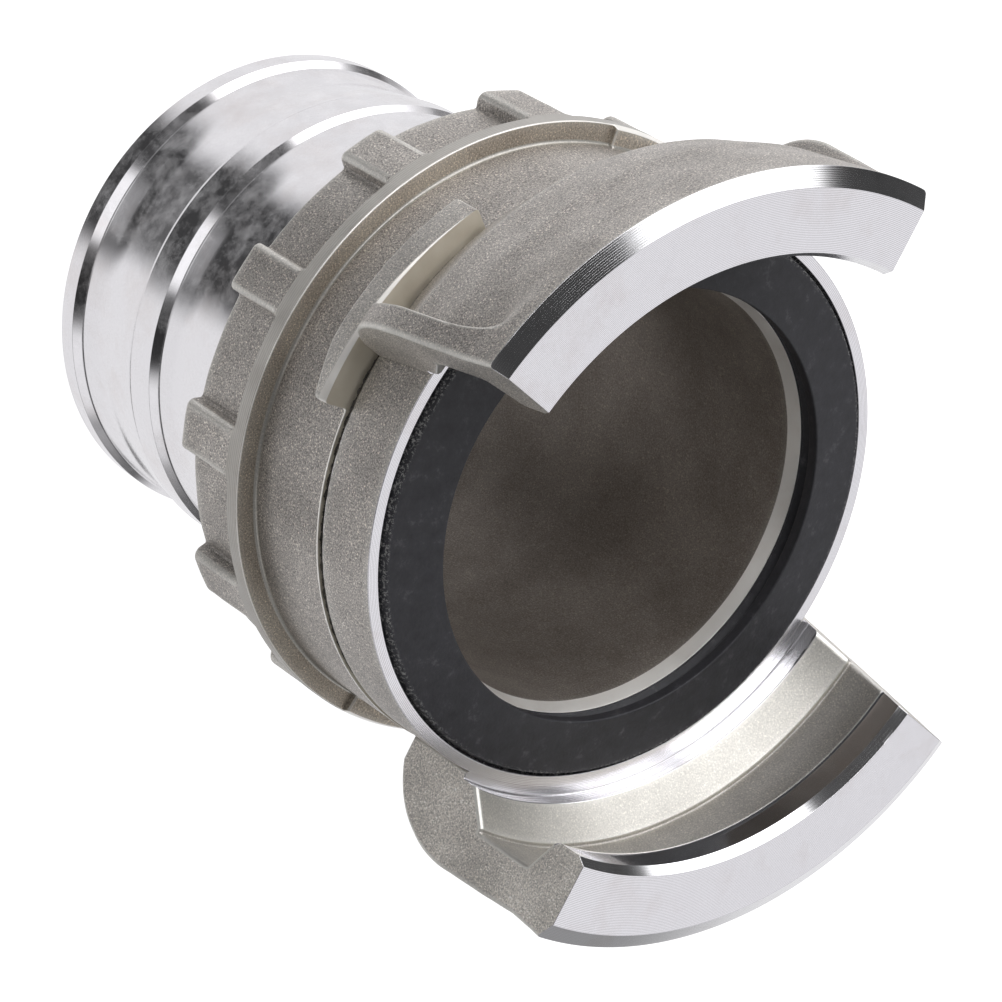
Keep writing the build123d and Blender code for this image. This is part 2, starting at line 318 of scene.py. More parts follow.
def mathNode(tree, operation, first, second=None, third=None):
    node = tree.nodes.new("ShaderNodeMath")
    node.operation = operation
    for socket, value in zip(node.inputs, (first, second, third)):
        if value is None:
            continue
        if isinstance(value, (int, float)):
            socket.default_value = value
        else:
            tree.links.new(value, socket)
    return node.outputs[0]


def mixColour(tree, factor, first, second, blend="MIX"):
    node = tree.nodes.new("ShaderNodeMix")
    node.data_type = "RGBA"
    node.blend_type = blend
    for socket, value in ((node.inputs[0], factor), (node.inputs[6], first), (node.inputs[7], second)):
        if isinstance(value, tuple):
            socket.default_value = (*value, 1.0)
        elif isinstance(value, (int, float)):
            socket.default_value = value
        else:
            tree.links.new(value, socket)
    return node.outputs[2]


def noiseOn(tree, place, scale, detail, rough):
    node = add(tree, "ShaderNodeTexNoise", Scale=scale, Detail=detail, Roughness=rough)
    tree.links.new(place, node.inputs["Vector"])
    return node.outputs["Fac"]


def placesOn(tree):
    # place on the piece, distance from the axis and level
    place = tree.nodes.new("ShaderNodeTexCoord").outputs["Object"]
    split = tree.nodes.new("ShaderNodeSeparateXYZ")
    tree.links.new(place, split.inputs[0])
    x, y, level = split.outputs
    squares = mathNode(tree, "ADD", mathNode(tree, "MULTIPLY", x, x), mathNode(tree, "MULTIPLY", y, y))
    return place, mathNode(tree, "SQRT", squares), level


def bumpBy(tree, shader, height, strength, depth):
    bump = add(tree, "ShaderNodeBump", Strength=strength, Distance=depth * mm)
    tree.links.new(height, bump.inputs["Height"])
    tree.links.new(bump.outputs["Normal"], shader.inputs["Normal"])


# Cast aluminium. Each noise is (scale, detail, roughness), each tone (place, colour).

castLook = {
    "blotches": (55.0, 5.0, 0.55), "blotchFrom": 0.36, "blotchTo": 0.64,
    "grain": (3000.0, 2.0, 0.6),
    "grainTones": [(0.3, (0.4, 0.4, 0.39)), (0.48, (0.88, 0.88, 0.87)), (0.6, (1.2, 1.19, 1.15)),
                   (0.7, (2.2, 2.15, 2.0))],
    # outer edges lightened: partly real wear, partly painted highlight
    "rubbedHighlightColour": (0.86, 0.85, 0.8), "rubbedHighlightGain": 1.2, "rubbedHighlightEverywhere": 0.1, "mostRubbedHighlight": 0.75,
    # inner corners darkened: painted shade
    "cornerShadeColour": (0.1, 0.09, 0.075), "cornerShade": 0.3,
    "blasting": (2300.0, 3.0, 0.7), "blastingDepth": 0.12,
    "metal": 0.85,
}


def castMetal(name, light, dark, roughness, grain, speckle=1.0, wearAndShadeStrength=1.0):
    # sand-cast aluminium: blasted grain, faint blotches, outer edges rubbed bright as wear and painted
    # highlight, and inner corners darkened as painted shade
    d = castLook
    material, tree, shader = newMaterial(name)
    place = tree.nodes.new("ShaderNodeTexCoord").outputs["Object"]
    blotch = noiseOn(tree, place, *d["blotches"])
    speck = noiseOn(tree, place, *d["grain"])
    tone = mixColour(tree, fade(tree, blotch, d["blotchFrom"], d["blotchTo"]), dark, light)
    grained = mixColour(tree, speckle, tone, ramp(tree, speck, d["grainTones"]), "MULTIPLY")
    # the edge attribute lightens outer edges (wear and painted highlight) and darkens inner corners (painted
    # shade)
    marked = add(tree, "ShaderNodeAttribute", attribute_name="wearAndShade").outputs["Fac"]
    wearAndShade = mathNode(tree, "MULTIPLY", marked, wearAndShadeStrength)
    patchy = mathNode(tree, "MULTIPLY_ADD", blotch, d["rubbedHighlightGain"], d["rubbedHighlightEverywhere"])
    rubHighlight = mathNode(tree, "MINIMUM", mathNode(tree, "MULTIPLY", wearAndShade, patchy), d["mostRubbedHighlight"])
    rubbedHighlighted = mixColour(tree, mathNode(tree, "MAXIMUM", rubHighlight, 0.0), grained, d["rubbedHighlightColour"])
    # painted shade: inner corners darkened by the edge attribute
    cornerShade = mathNode(tree, "MAXIMUM", mathNode(tree, "MULTIPLY", wearAndShade, -d["cornerShade"]), 0.0)
    tree.links.new(mixColour(tree, cornerShade, rubbedHighlighted, d["cornerShadeColour"]), shader.inputs["Base Color"])
    shader.inputs["Metallic"].default_value = d["metal"]
    shader.inputs["Roughness"].default_value = roughness
    bumpBy(tree, shader, noiseOn(tree, place, *d["blasting"]), grain, d["blastingDepth"])
    return material


turnedLook = {
    "waver": 0.15, "waverNoise": (25.0, 2.0, 0.55), "ringPower": 0.35,
    "scratches": (4000.0, 3.0, 0.7), "scratchShare": 0.8,
    "blotches": (70.0, 6.0, 0.65), "blotchFrom": 0.5, "blotchTo": 0.72, "stain": (0.93, 0.905, 0.89),
    # colour of the painted shade in the bottom of the rings
    "grooveShadeColour": (0.2, 0.2, 0.2),
    "patches": (160.0, 5.0, 0.7), "cloudFrom": 0.42, "cloudTo": 0.68,
    "leastDull": 0.75, "dulling": 0.5,
}


def turnedMetal(name, colour, roughness, pitch, depth, along="radius", film=0.1, grooveShading=0.0, clouded=False):
    # turned aluminium: fine rings about the axis, spaced by radius or by level, with the bottom of each ring
    # darkened as painted shade
    d = turnedLook
    material, tree, shader = newMaterial(name)
    place, radius, level = placesOn(tree)
    run = {"radius": radius, "level": level, "both": mathNode(tree, "ADD", radius, level)}[along]
    wave = noiseOn(tree, place, *d["waverNoise"])
    wavy = mathNode(tree, "MULTIPLY_ADD", wave, d["waver"] * pitch * mm, run)
    phase = mathNode(tree, "MULTIPLY", wavy, math.pi / (pitch * mm))
    rings = mathNode(tree, "POWER", mathNode(tree, "ABSOLUTE", mathNode(tree, "SINE", phase)), d["ringPower"])
    scratchPlace = add(tree, "ShaderNodeCombineXYZ")
    tree.links.new(run, scratchPlace.inputs[0])
    scratch = noiseOn(tree, scratchPlace.outputs[0], *d["scratches"])
    bumpBy(tree, shader, mathNode(tree, "MULTIPLY_ADD", scratch, d["scratchShare"], rings), 1.0, depth)
    blotch = noiseOn(tree, place, *d["blotches"])
    stained = tuple(c * s for c, s in zip(colour, d["stain"]))
    tone = mixColour(tree, fade(tree, blotch, d["blotchFrom"], d["blotchTo"]), colour, stained)
    # painted shade: the bottom of each ring darkened
    grooveShade = mathNode(tree, "MULTIPLY", mathNode(tree, "SUBTRACT", 1.0, rings), grooveShading)
    tree.links.new(mixColour(tree, grooveShade, tone, d["grooveShadeColour"]), shader.inputs["Base Color"])
    patchy = noiseOn(tree, place, *d["patches"])
    if clouded:
        patchy = fade(tree, patchy, d["cloudFrom"], d["cloudTo"])
    tree.links.new(mathNode(tree, "MULTIPLY_ADD", patchy, -2 * film, 1.0), shader.inputs["Metallic"])
    dull = mathNode(tree, "MULTIPLY_ADD", blotch, roughness * d["dulling"], roughness * d["leastDull"])
    tree.links.new(dull, shader.inputs["Roughness"])
    return material


rubberLook = {
    "dust": (260.0, 6.0, 0.75),
    "dustTones": [(0.3, (0.018, 0.018, 0.022)), (0.58, (0.032, 0.032, 0.038)), (0.78, (0.11, 0.11, 0.115))],
    "grit": (1500.0, 3.0, 0.8), "gritColour": (0.3, 0.3, 0.29), "gritFrom": 0.52, "gritTo": 0.6,
    "rimFrom": 56.4, "rimTo": 57.4,
    "roughness": 0.5, "skin": (1200.0, 5.0, 0.7), "skinStrength": 0.6, "skinDepth": 0.15,
}


def rubberSkin(name):
    # black rubber, dusty, with grit packed along its outer edge
    d = rubberLook
    material, tree, shader = newMaterial(name)
    place, radius, level = placesOn(tree)
    colour = ramp(tree, noiseOn(tree, place, *d["dust"]), d["dustTones"])
    rim = smoothStep(tree, radius, d["rimFrom"] * mm, d["rimTo"] * mm)
    grains = fade(tree, noiseOn(tree, place, *d["grit"]), d["gritFrom"], d["gritTo"])
    grit = mathNode(tree, "MULTIPLY", rim, grains)
    tree.links.new(mixColour(tree, grit, colour, d["gritColour"]), shader.inputs["Base Color"])
    shader.inputs["Roughness"].default_value = d["roughness"]
    bumpBy(tree, shader, noiseOn(tree, place, *d["skin"]), d["skinStrength"], d["skinDepth"])
    return material


finishes = {
    "cast": castMetal("castAluminium", (0.55, 0.52, 0.5), (0.42, 0.396, 0.378), roughness=0.48, grain=0.85),
    "castBrown": castMetal("castBrownish", (0.6, 0.55, 0.48), (0.45, 0.4, 0.34), roughness=0.5, grain=0.5,
                           speckle=0.7),
    "castSmooth": castMetal("castSmooth", (0.64, 0.625, 0.58), (0.56, 0.545, 0.505), roughness=0.36,
                            grain=0.25, speckle=0.3),
    "castFloor": castMetal("castFloor", (0.74, 0.715, 0.67), (0.6, 0.575, 0.535), roughness=0.42, grain=0.3,
                           speckle=0.4),
    "castEnd": castMetal("castEndWall", (0.84, 0.79, 0.74), (0.56, 0.53, 0.5), roughness=0.45, grain=1.1,
                         wearAndShadeStrength=0.25),
    # near-black finish: painted shade of the gap at the band's rear edge
    "gapShade": castMetal("castGapShade", (0.14, 0.13, 0.115), (0.05, 0.045, 0.04), roughness=0.7, grain=0.6,
                      speckle=0.6, wearAndShadeStrength=0.1),
    "bore": castMetal("castBore", (0.42, 0.38, 0.345), (0.32, 0.285, 0.255), roughness=0.6, grain=0.25,
                      speckle=0.5),
    "face": turnedMetal("turnedFace", (0.9, 0.89, 0.92), roughness=0.2, pitch=0.34, depth=0.008, grooveShading=0.75),
    "bevel": turnedMetal("turnedBevel", (0.92, 0.92, 0.93), roughness=0.09, pitch=0.36, depth=0.006,
                         film=0.03, grooveShading=0.3),
    "tail": turnedMetal("turnedTail", (0.86, 0.85, 0.865), roughness=0.13, pitch=0.3, depth=0.002,
                        along="level", film=0.12, clouded=True),
    "rim": turnedMetal("turnedRim", (0.5, 0.48, 0.445), roughness=0.42, pitch=0.6, depth=0.07,
                       along="level", film=0.4, grooveShading=0.9),
    "strip": turnedMetal("turnedStrip", (0.79, 0.735, 0.61), roughness=0.4, pitch=0.3, depth=0.004,
                         film=0.75),
    "filed": turnedMetal("filedEdge", (0.95, 0.93, 0.88), roughness=0.35, pitch=0.5, depth=0.005,
                         along="both", film=0.6),
    "rubber": rubberSkin("sealRubber"),
}
print("materials made")


# Body: tail, journal, band and bore, turned about the axis

bodyTurning = {
    "waterway": 44.6, "mouthChamfer": 2.8,
    "tail": 50.9, "tailRoot": 48.9, "tailNeck": 51.6, "tailEndChamfer": 0.8, "tailLength": 71.9,
    "endLand": 5.1, "barbStep": 2.0, "barbDrop": 1.35, "valley": 14.0,
    "secondLand": 28.4, "secondLandWidth": 7.1, "thinStep": 0.25, "thinStepWidth": 0.8,
    "neckStep": 2.0, "neckDrop": 1.2, "neckFall": 0.5, "neckValley": 8.0,
    "journal": 54.5, "journalChamfer": 1.0, "wireGroove": 51.35, "wireHalf": 1.65, "wirePlay": 0.9,
    "band": 60.7, "bandWidth": 15.8,
    "grooveMouth": 58.3, "grooveLip": 1.4, "undercut": 0.8, "grooveDepth": 3.0, "seat": 45.8,
    "columns": 350, "longestRun": 1.9,
}
bandRear = faceLevel - bodyTurning["bandWidth"]


def turnedBody(d):
    tail, journal, groove = d["tail"], d["journal"], d["grooveMouth"]
    second = d["secondLand"] + d["secondLandWidth"]
    wireRear = wireLevel - d["wireHalf"]
    wireFront = wireRear + 2 * d["wireHalf"] + d["wirePlay"]
    seat = faceLevel - d["grooveDepth"]
    corners = [
        (d["waterway"], 0, 0.3, "tail"),
        (tail - d["tailEndChamfer"], 0, 0.2, "tail"),
        (tail, d["tailEndChamfer"], 0.2, "tail"),
        (tail, d["endLand"], 0.25, "tail"),
        (tail - d["barbDrop"], d["endLand"] + d["barbStep"], 1.5, "tail"),
        (d["tailRoot"], d["valley"], 18.0, "tail"),
        (tail - d["thinStep"], d["secondLand"] - d["thinStepWidth"], 0.2, "tail"),
        (tail, d["secondLand"], 0.2, "tail"),
        (tail, second, 0.25, "tail"),
        (tail - d["neckDrop"], second + d["neckStep"], 1.5, "tail"),
        (tail - d["neckDrop"] - d["neckFall"], second + d["neckValley"], 20.0, "tail"),
        (d["tailNeck"], d["tailLength"], 0.4, "tail"),
        (journal - d["journalChamfer"], d["tailLength"], 0.2, "tail"),
        (journal, d["tailLength"] + d["journalChamfer"], 0.2, "tail"),
        (journal, wireRear, 0, "tail"),
        (d["wireGroove"], wireRear, 0, "tail"),
        (d["wireGroove"], wireFront, 0, "tail"),
        (journal, wireFront, 0, "tail"),
        (journal, bandRear, 0.3, "tail"),
        (d["band"], bandRear, 0.5, "cast"),
        (d["band"], faceLevel, 0.15, "face"),
        (groove, faceLevel, 0.15, "face"),
        (groove, faceLevel - d["grooveLip"], 0.1, "face"),
        (groove + d["undercut"], faceLevel - d["grooveLip"], 0.1, "face"),
        (groove + d["undercut"], seat, 0.1, "face"),
        (d["seat"], seat, 0.15, "filed"),
        (d["waterway"], seat - d["mouthChamfer"], 0.2, "bore"),
    ]
    points, kinds, used = outline(corners, longest=d["longestRun"])
    piece = gridMesh("bodyTurning", turnAbout(points, d["columns"]), kinds)
    markEdges(piece, d["columns"], len(kinds))
    return piece


# Lugs: each a sector between two drafted end walls, with a recessed panel between two end ribs

hookLugs = {
    "halfAngle": 39.1, "draft": 8.0, "endRounding": 0.85, "turnedEdge": 0.06,
    "root": 60.65, "rearRadius": 66.0, "belly": 79.6, "bellyHeight": 5.0, "bellySteps": 16,
    "waist": 79.0, "waistHeight": 24.4, "outer": 79.9,
    "bevelWidth": 3.6, "bevelHeight": 2.25, "lipBevel": 1.3, "lipBevelHeight": 2.0,
    "lipBore": 62.3, "lipThickness": 8.6, "lipSlope": 24.0, "lipRounding": 2.4,
    "channel": 69.5, "shoulder": 68.6, "shoulderHeight": 9.3, "land": 62.5, "landWall": 3.7,
    "ribThickness": 5.7, "ribWall": 1.3, "panelCorner": 4.0, "panelClear": 0.3,
    "panelShift": -3.7, "panelLedge": 5.0, "panelLedgeEnd": 27.0, "panelRound": 0.5,
    "panelFade": 11.0, "fadeFrom": 4, "fadeWidth": 14, "farAway": 9,
    "panelRear": 63.4, "panelCrease": 71.8, "panelCreaseHeight": -3.8,
    "panelMiddle": 75.1, "panelMiddleHeight": 8.0, "panelFront": 77.4, "panelFrontHeight": 26.7,
    "longestRun": 0.8, "middleColumns": 70, "edgeInsets": (0.0, 0.06, 0.2, 0.45),
    "wallInsets": (1.3, 1.9, 2.6, 3.4, 4.2, 4.8, 5.2, 5.5, 5.75, 6.0, 6.25, 6.5, 6.75, 7.0, 7.4, 8.0, 8.7,
                   9.6, 10.6, 12.0),
}


def smooth(share):
    share = np.clip(share, 0, 1)
    return share * share * (3 - 2 * share)


def lugCorners(d):
    belly = faceLevel + d["bellyHeight"]
    out, drop = d["belly"] - d["rearRadius"], belly - bandRear
    bend = (out * out + drop * drop) / (2 * out)      # radius of the belly's arc
    full = math.asin(drop / bend)
    lipRear = bodyTop - d["lipThickness"]
    hook = lipRear - (d["channel"] - d["lipBore"]) * math.tan(math.radians(d["lipSlope"]))
    corners = [(d["root"], bandRear, 0, "cast"), (d["rearRadius"], bandRear, 0.9, "cast")]
    for k in range(1, d["bellySteps"]):
        turn = full * (1 - k / d["bellySteps"])
        corners.append((d["belly"] - bend + bend * math.cos(turn), belly - bend * math.sin(turn), 0, "cast"))
    corners += [
        (d["belly"], belly, 0, "cast"),
        (d["waist"], faceLevel + d["waistHeight"], 3.0, "cast"),
        (d["outer"], bodyTop - d["bevelHeight"], 0.12, "bevel"),
        (d["outer"] - d["bevelWidth"], bodyTop, 0.1, "face"),
        (d["lipBore"] + d["lipBevel"], bodyTop, 0.1, "bevel"),
        (d["lipBore"], bodyTop - d["lipBevelHeight"], 0.2, "bevel"),
        (d["lipBore"], lipRear, d["lipRounding"], "castSmooth"),
        (d["channel"], hook, 0.8, "castFloor"),
        (d["channel"], faceLevel + d["shoulderHeight"], 0.5, "castSmooth"),
        (d["shoulder"], faceLevel + d["shoulderHeight"], 0.4, "castSmooth"),
        (d["land"], faceLevel + d["landWall"], 0.3, "bevel"),
        (d["land"], faceLevel, 0.3, "face"),
        (d["root"], faceLevel, 0, "cast"),
    ]
    return corners


def panelRadius(d, level, turn):
    # radius of the recess about an axis set over to one side
    rear = -bodyTurning["bandWidth"]
    heights = [rear, d["panelCreaseHeight"], d["panelMiddleHeight"], d["panelFrontHeight"]]
    radii = [d["panelRear"], d["panelCrease"], d["panelMiddle"], d["panelFront"]]
    own = np.interp(level - faceLevel, heights, radii)
    over = d["panelShift"] * np.sin(turn)
    return over + np.sqrt(over * over - d["panelShift"] ** 2 + own * own)


def panelDepth(d, radius, level, turn, side):
    # how far the recess lies below the outside, where side is the distance from the end wall
    inside = side - d["ribThickness"]
    ledge = d["panelLedge"] + d["panelFade"] * smooth((inside - d["fadeFrom"]) / d["fadeWidth"])
    ahead = (faceLevel + d["panelLedgeEnd"] - level) * d["ribWall"] / ledge
    curve, away = d["panelCorner"], d["farAway"]
    curved = curve - np.hypot(np.maximum(curve - inside, 0), np.maximum(curve - ahead, 0))
    curved = curved + away * (inside > curve) + away * (ahead > curve)      # it holds in the corner alone
    within = np.minimum(np.minimum(inside, ahead), curved)
    full = np.maximum(radius - panelRadius(d, level, turn), 0)
    return full * smooth((within + d["panelRound"]) / (d["ribWall"] + d["panelRound"]))


def oneLug(d, name, turned):
    corners = lugCorners(d)
    points, kinds, used = outline(corners, longest=d["longestRun"])
    rows = len(points)
    lean = math.radians(d["draft"])
    half = math.radians(d["halfAngle"])

    def wall(shape, inset):
        # angle at which a point lies this far inside the end wall
        reach = ((bodyTop - shape[:, 1]) * math.sin(lean) - inset) / math.cos(lean)
        return half + np.arcsin(np.clip(reach / shape[:, 0], -1, 1))

    end = []
    bend = d["endRounding"]
    for inset in (*d["edgeInsets"], bend):        # rounded cast edge, nearly sharp turned edge
        cast = bend - math.sqrt(bend ** 2 - (bend - inset) ** 2)
        machined = max(0.0, d["turnedEdge"] - inset)
        depths = {kind: cast if kind.startswith("cast") else machined for kind in set(kinds)}
        shape = outline(insetCorners(corners, depths), runs=used)[0]
        end.append((shape, wall(shape, inset)))
    end += [(points, wall(points, inset)) for inset in d["wallInsets"]]
    last = end[-1][1]
    middle = [(points, last * share) for share in np.linspace(-1, 1, d["middleColumns"] + 2)[1:-1]]
    columns = [(shape, -turn) for shape, turn in end] + middle + end[::-1]
    beforeBevel = np.arange(rows) < kinds.index("bevel")
    outer = beforeBevel & (points[:, 1] < bodyTop - d["bevelHeight"] - d["panelClear"])
    places = np.zeros((len(columns), rows, 3))
    for c, (shape, turn) in enumerate(columns):
        radius, level = shape[:, 0], shape[:, 1]
        side = np.cos(lean) * radius * np.sin(half - np.abs(turn)) + (bodyTop - level) * math.sin(lean)
        radius = np.where(outer, radius - panelDepth(d, radius, level, turn, side), radius)
        places[c] = np.stack([radius * np.cos(turn), radius * np.sin(turn), level], axis=1)
    spin = math.radians(turned)
    x, y = places[..., 0].copy(), places[..., 1].copy()
    places[..., 0] = x * math.cos(spin) - y * math.sin(spin)
    places[..., 1] = x * math.sin(spin) + y * math.cos(spin)
    piece = gridMesh(name, places, kinds, around=False, caps="castEnd")
    markEdges(piece, len(columns), rows, around=False)
    return piece


# Ragged burr left along the rear edge of the band, coloured near-black as painted shade of the gap between
# band and ring. A wave is (waves in a degree, row of the noise).

bandBurr = {
    "from": 30.0, "to": 112.0, "step": 0.3, "root": 60.5, "level": 113.9, "overlap": 0.02, "thick": 0.12,
    "rise": 0.5, "riseGain": 2, "riseWaves": ((0.35, 2.0), (1.7, 5.0)), "riseFine": 0.5,
    "drop": 0.4, "dropGain": 1.6, "dropWaves": ((0.5, 9.0), (2.3, 4.0)), "dropFine": 0.4,
}


def burrPiece(d):
    def ragged(angle, waves, fine):
        slow, fast = [abs(noise.noise(Vector((angle * wave, row, 0.0)))) for wave, row in waves]
        return slow + fine * fast

    places = []
    for angle in np.arange(d["from"], d["to"], d["step"]):
        share = (angle - d["from"]) / (d["to"] - d["from"])
        swell = math.sin(math.pi * share) ** 0.5
        out = ragged(angle, d["riseWaves"], d["riseFine"])
        down = ragged(angle, d["dropWaves"], d["dropFine"])
        tip = d["root"] + d["thick"] + d["rise"] * min(out * d["riseGain"], 1.0) * swell
        low = d["level"] - d["thick"] / 2 - d["drop"] * min(down * d["dropGain"], 1.0) * swell
        top = d["level"] + d["overlap"]
        profile = [(d["root"], top), (d["root"] + d["thick"] * 1.5, top), (tip, low + d["thick"] / 2),
                   (tip - d["thick"] / 2, low), (d["root"], d["level"] - d["thick"])]
        a = math.radians(angle)
        places.append([(r * math.cos(a), r * math.sin(a), z) for r, z in profile])
    # near-black finish all over: painted shade of the gap
    return gridMesh("bandBurr", np.array(places), ["gapShade"] * len(places[0]), around=False, caps="gapShade")


# Locking ring: skirt, flange and hub, with clamping arcs, pads and spanner ribs

lockingRing = {
    "bore": 54.8, "skirt": 61.0, "skirtLength": 21.7, "flange": 65.5, "flangeWidth": 3.8,
    "flangeChamfer": 0.22, "hub": 62.0, "hubRound": 0.7, "rootFillet": 0.65,
    "wireGroove": 56.0, "wireHalf": 1.65,
    "ribCount": 12, "firstRib": 14.4, "ribWidth": 10.6, "ribCorner": 1.5, "ribRoot": 1.0, "ribEnd": 1.2,
    "ribFlangeStep": 0.6, "ribRootStep": 1.6,
    "arcStart": 15.5, "arcAngle": 41.3, "arcRadius": 67.7, "arcDrop": 1.2, "camLead": 45.0,
    "arcBevel": 66.5, "arcFillet": 0.8, "arcCorner": 0.8, "frontChamfer": 0.7,
    "closedRear": 1.6, "closedRoot": 2.4, "beforeArc": 20,
    "lipSlope": 24.0, "clampLevel": 108.1, "clampRise": 1.2, "leadIn": 10.0, "leadInDepth": 2.6,
    "padStart": 135.5, "padAngle": 17.0, "padHeight": 1.2,
    "padFillet": 0.4, "padCorner": 0.4, "padDraft": 0.35,
    "longestStep": 1.6, "leastStep": 0.02, "longestRun": 1.3,
}


wallGap = 0.04          # between the columns of a wall's fillet and those of its corner
filletColumns = 4
cornerColumns = 5


def wallSteps(fillet, corner, height):
    # profile of a cast wall: distance along and share of the height, over its fillet and its corner
    steps = [(-fillet * (1 - math.sin(t)), fillet * (1 - math.cos(t)) / height)
             for t in np.linspace(0, math.pi / 2, filletColumns)]
    steps += [(corner * (1 - math.cos(t)) + wallGap, 1 - corner * (1 - math.sin(t)) / height)
              for t in np.linspace(0, math.pi / 2, cornerColumns)]
    return steps


def raised(angle, start, width, steps, radius):
    # 0 beside and 1 on a raised stretch, with the wall's own profile at both ends
    away, share = zip(*steps)
    past = (angle - start) % 360
    near = np.where(past < width, np.minimum(past, width - past), -np.minimum(past - width, 360 - past))
    return np.interp(np.radians(near) * radius, away, share)


def ringCorners(d, level, top, rearTop, rearRoot, onArc, onPad, onRib):
    # one column's outline; a share of 0 closes the arc, pad or rib up
    def blend(off, on, share):
        return off + (on - off) * share

    flangeFront = ringFront - d["skirtLength"]
    flangeRear = flangeFront - d["flangeWidth"]
    pad = d["padHeight"] * onPad
    wireRear = wireLevel - d["wireHalf"]
    wireFront = wireRear + 2 * d["wireHalf"]
    bevel = d["arcBevel"]
    outer = blend(d["skirt"], top, onArc)
    rib = blend(d["hub"], d["flange"], onRib)
    return [
        (d["bore"], ringFront, 0.2, "strip"),
        (blend(d["skirt"], bevel, onArc), ringFront, 0.12, "filed"),
        (outer, ringFront - blend(d["frontChamfer"], top - bevel, onArc), 0.3, "cast"),
        (outer, blend(ringFront - d["closedRear"], rearTop, onArc), 0.7, "cast"),
        (d["skirt"], blend(ringFront - d["closedRoot"], rearRoot, onArc), 0.8, "cast"),
        (d["skirt"], flangeFront + pad, d["rootFillet"], "castBrown", "castSmooth"),
        (d["flange"] - d["flangeChamfer"] - d["padDraft"] * pad, flangeFront + pad, 0.15, "filed"),
        (d["flange"], flangeFront - d["flangeChamfer"], 0.15, "rim"),
        (d["flange"], blend(flangeRear, flangeRear + d["ribFlangeStep"], onRib), 0.6, "cast"),
        (rib, blend(flangeRear, flangeRear - d["ribRootStep"], onRib), 1.0, "cast"),
        (rib, ringRear, blend(d["hubRound"], d["ribEnd"], onRib), "cast"),
        (d["bore"], ringRear, 0.4, "tail"),
        (d["bore"], wireRear, 0, "tail"),
        (d["wireGroove"], wireRear, 0, "tail"),
        (d["wireGroove"], wireFront, 0, "tail"),
        (d["bore"], wireFront, 0, "tail"),
    ]


def ribTree():
    # moves a ring's surface out into evenly spaced ribs with filled roots and rounded corners
    tree = bpy.data.node_groups.new("spannerRibs", "GeometryNodeTree")
    tree.interface.new_socket("Ring", in_out="INPUT", socket_type="NodeSocketGeometry")
    for name, kind in (("Rib Count", "Int"), ("First Rib", "Float"), ("Rib Width", "Float"),
                       ("Rib Radius", "Float"), ("Rib Height", "Float"), ("Root Fillet", "Float"),
                       ("Corner Round", "Float"), ("Cast Slot", "Int"), ("Cast Finish", "Material")):
        tree.interface.new_socket(name, in_out="INPUT", socket_type="NodeSocket" + kind)
    tree.interface.new_socket("Ribbed Ring", in_out="OUTPUT", socket_type="NodeSocketGeometry")
    given = tree.nodes.new("NodeGroupInput").outputs
    result = tree.nodes.new("NodeGroupOutput")
    split = tree.nodes.new("ShaderNodeSeparateXYZ")
    tree.links.new(tree.nodes.new("GeometryNodeInputPosition").outputs[0], split.inputs[0])

    def calc(operation, *values):
        return mathNode(tree, operation, *values)

    angle = calc("ARCTAN2", split.outputs[1], split.outputs[0])
    half = calc("DIVIDE", math.pi, given["Rib Count"])
    away = calc("WRAP", calc("SUBTRACT", angle, given["First Rib"]), half, calc("MULTIPLY", half, -1.0))
    along = calc("MULTIPLY", calc("ABSOLUTE", away), given["Rib Radius"])
    into = calc("SUBTRACT", calc("MULTIPLY", given["Rib Width"], 0.5), along)

    def quarter(radius, distance):
        # height above a tangent circle of this radius, at a distance of 0 to the radius from its start
        held = calc("MAXIMUM", calc("MINIMUM", distance, radius), 0.0)
        inner = calc("SUBTRACT", calc("MULTIPLY", radius, radius), calc("MULTIPLY", held, held))
        return calc("SUBTRACT", radius, calc("SQRT", calc("MAXIMUM", inner, 0.0)))

    root, corner = given["Root Fillet"], given["Corner Round"]
    foot = quarter(root, calc("ADD", into, root))
    lack = quarter(corner, calc("SUBTRACT", corner, into))
    wall = calc("SUBTRACT", calc("SUBTRACT", given["Rib Height"], root), lack)
    height = calc("ADD", foot, calc("MULTIPLY", calc("GREATER_THAN", into, 0.0), wall))
    share = calc("DIVIDE", height, given["Rib Height"])
    reach = tree.nodes.new("GeometryNodeInputNamedAttribute")
    reach.data_type = "FLOAT_VECTOR"
    reach.inputs["Name"].default_value = "ribReach"
    parts = tree.nodes.new("ShaderNodeSeparateXYZ")
    tree.links.new(reach.outputs["Attribute"], parts.inputs[0])
    out = calc("MULTIPLY", parts.outputs[0], share)
    offset = tree.nodes.new("ShaderNodeCombineXYZ")
    for socket, value in zip(offset.inputs, (calc("MULTIPLY", out, calc("COSINE", angle)),
                                             calc("MULTIPLY", out, calc("SINE", angle)),
                                             calc("MULTIPLY", parts.outputs[2], share))):
        tree.links.new(value, socket)
    shift = tree.nodes.new("GeometryNodeSetPosition")
    tree.links.new(given["Ring"], shift.inputs["Geometry"])
    tree.links.new(offset.outputs[0], shift.inputs["Offset"])
    real = tree.nodes.new("GeometryNodeRealizeInstances")
    tree.links.new(shift.outputs[0], real.inputs[0])
    chosen = tree.nodes.new("FunctionNodeCompare")
    chosen.data_type = "INT"
    chosen.operation = "EQUAL"
    tree.links.new(tree.nodes.new("GeometryNodeInputMaterialIndex").outputs[0], chosen.inputs["A"])
    tree.links.new(given["Cast Slot"], chosen.inputs["B"])
    finish = tree.nodes.new("GeometryNodeSetMaterial")
    tree.links.new(real.outputs[0], finish.inputs["Geometry"])
    tree.links.new(chosen.outputs[0], finish.inputs["Selection"])
    tree.links.new(given["Cast Finish"], finish.inputs["Material"])
    tree.links.new(finish.outputs[0], result.inputs[0])
    return tree


